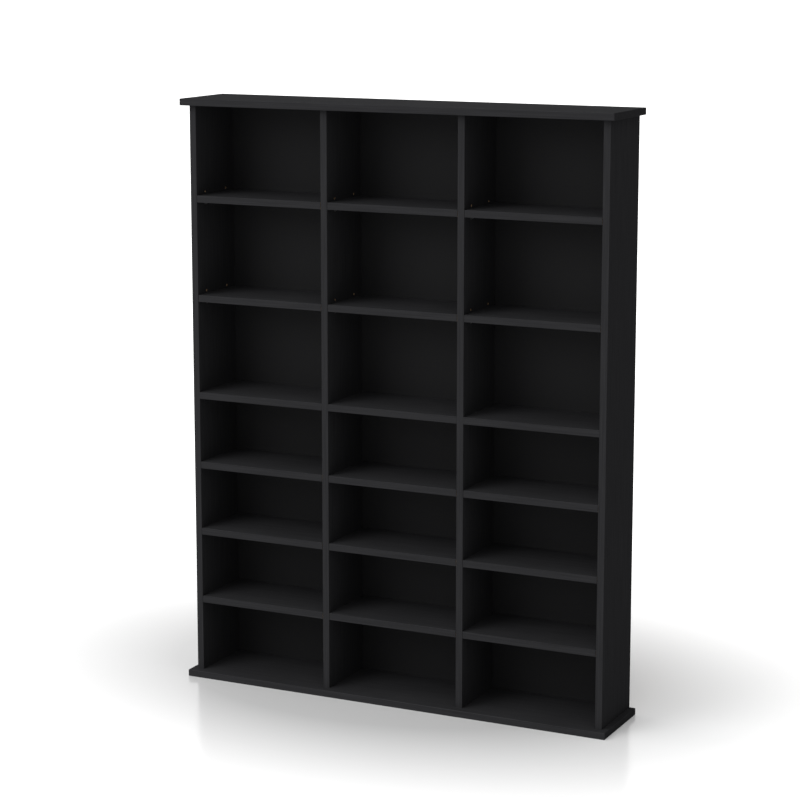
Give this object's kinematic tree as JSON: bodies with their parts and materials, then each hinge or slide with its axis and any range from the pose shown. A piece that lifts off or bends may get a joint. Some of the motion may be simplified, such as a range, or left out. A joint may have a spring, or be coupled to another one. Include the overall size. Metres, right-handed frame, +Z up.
{
  "type": "media storage tower",
  "caption": "Wide open media storage tower of black laminated board with an overhanging top and base, dividers, loose shelves on pins and a thin back.",
  "frame": {"origin": "centre of the footprint on the floor", "axes": "+Z up, +X to the right seen from the front, +Y to the back, so the open front faces -Y"},
  "size_m": [1, 0.184, 1.295],
  "materials": {
    "black_laminate": "satin black laminate on particle board",
    "black_hardboard": "black faced hardboard, raw at the rear",
    "black_pin": "moulded black plastic"
  },
  "bodies": {
    "cabinet": {"base_panel": "black_laminate", "top_panel": "black_laminate", "left_side_panel": "black_laminate", "left_divider": "black_laminate", "right_divider": "black_laminate", "right_side_panel": "black_laminate", "left_fixed_shelf": "black_laminate", "left_back_sheet": "black_hardboard", "centre_fixed_shelf": "black_laminate", "centre_back_sheet": "black_hardboard", "right_fixed_shelf": "black_laminate", "right_back_sheet": "black_hardboard", "left_shelf_pins": "black_pin", "centre_shelf_pins": "black_pin", "right_shelf_pins": "black_pin"},
    "left_shelf_1": {"left_shelf_1": "black_laminate"},
    "left_shelf_2": {"left_shelf_2": "black_laminate"},
    "left_shelf_3": {"left_shelf_3": "black_laminate"},
    "left_shelf_5": {"left_shelf_5": "black_laminate"},
    "left_shelf_6": {"left_shelf_6": "black_laminate"},
    "centre_shelf_1": {"centre_shelf_1": "black_laminate"},
    "centre_shelf_2": {"centre_shelf_2": "black_laminate"},
    "centre_shelf_3": {"centre_shelf_3": "black_laminate"},
    "centre_shelf_5": {"centre_shelf_5": "black_laminate"},
    "centre_shelf_6": {"centre_shelf_6": "black_laminate"},
    "right_shelf_1": {"right_shelf_1": "black_laminate"},
    "right_shelf_2": {"right_shelf_2": "black_laminate"},
    "right_shelf_3": {"right_shelf_3": "black_laminate"},
    "right_shelf_5": {"right_shelf_5": "black_laminate"},
    "right_shelf_6": {"right_shelf_6": "black_laminate"}
  },
  "joints": [
    {"name": "left_shelf_1_slide", "type": "slide", "parent": "cabinet", "child": "left_shelf_1", "axis": [0, -1, 0], "range_m": [0, 0.19]},
    {"name": "left_shelf_2_slide", "type": "slide", "parent": "cabinet", "child": "left_shelf_2", "axis": [0, -1, 0], "range_m": [0, 0.19]},
    {"name": "left_shelf_3_slide", "type": "slide", "parent": "cabinet", "child": "left_shelf_3", "axis": [0, -1, 0], "range_m": [0, 0.19]},
    {"name": "left_shelf_5_slide", "type": "slide", "parent": "cabinet", "child": "left_shelf_5", "axis": [0, -1, 0], "range_m": [0, 0.19]},
    {"name": "left_shelf_6_slide", "type": "slide", "parent": "cabinet", "child": "left_shelf_6", "axis": [0, -1, 0], "range_m": [0, 0.19]},
    {"name": "centre_shelf_1_slide", "type": "slide", "parent": "cabinet", "child": "centre_shelf_1", "axis": [0, -1, 0], "range_m": [0, 0.19]},
    {"name": "centre_shelf_2_slide", "type": "slide", "parent": "cabinet", "child": "centre_shelf_2", "axis": [0, -1, 0], "range_m": [0, 0.19]},
    {"name": "centre_shelf_3_slide", "type": "slide", "parent": "cabinet", "child": "centre_shelf_3", "axis": [0, -1, 0], "range_m": [0, 0.19]},
    {"name": "centre_shelf_5_slide", "type": "slide", "parent": "cabinet", "child": "centre_shelf_5", "axis": [0, -1, 0], "range_m": [0, 0.19]},
    {"name": "centre_shelf_6_slide", "type": "slide", "parent": "cabinet", "child": "centre_shelf_6", "axis": [0, -1, 0], "range_m": [0, 0.19]},
    {"name": "right_shelf_1_slide", "type": "slide", "parent": "cabinet", "child": "right_shelf_1", "axis": [0, -1, 0], "range_m": [0, 0.19]},
    {"name": "right_shelf_2_slide", "type": "slide", "parent": "cabinet", "child": "right_shelf_2", "axis": [0, -1, 0], "range_m": [0, 0.19]},
    {"name": "right_shelf_3_slide", "type": "slide", "parent": "cabinet", "child": "right_shelf_3", "axis": [0, -1, 0], "range_m": [0, 0.19]},
    {"name": "right_shelf_5_slide", "type": "slide", "parent": "cabinet", "child": "right_shelf_5", "axis": [0, -1, 0], "range_m": [0, 0.19]},
    {"name": "right_shelf_6_slide", "type": "slide", "parent": "cabinet", "child": "right_shelf_6", "axis": [0, -1, 0], "range_m": [0, 0.19]}
  ]
}
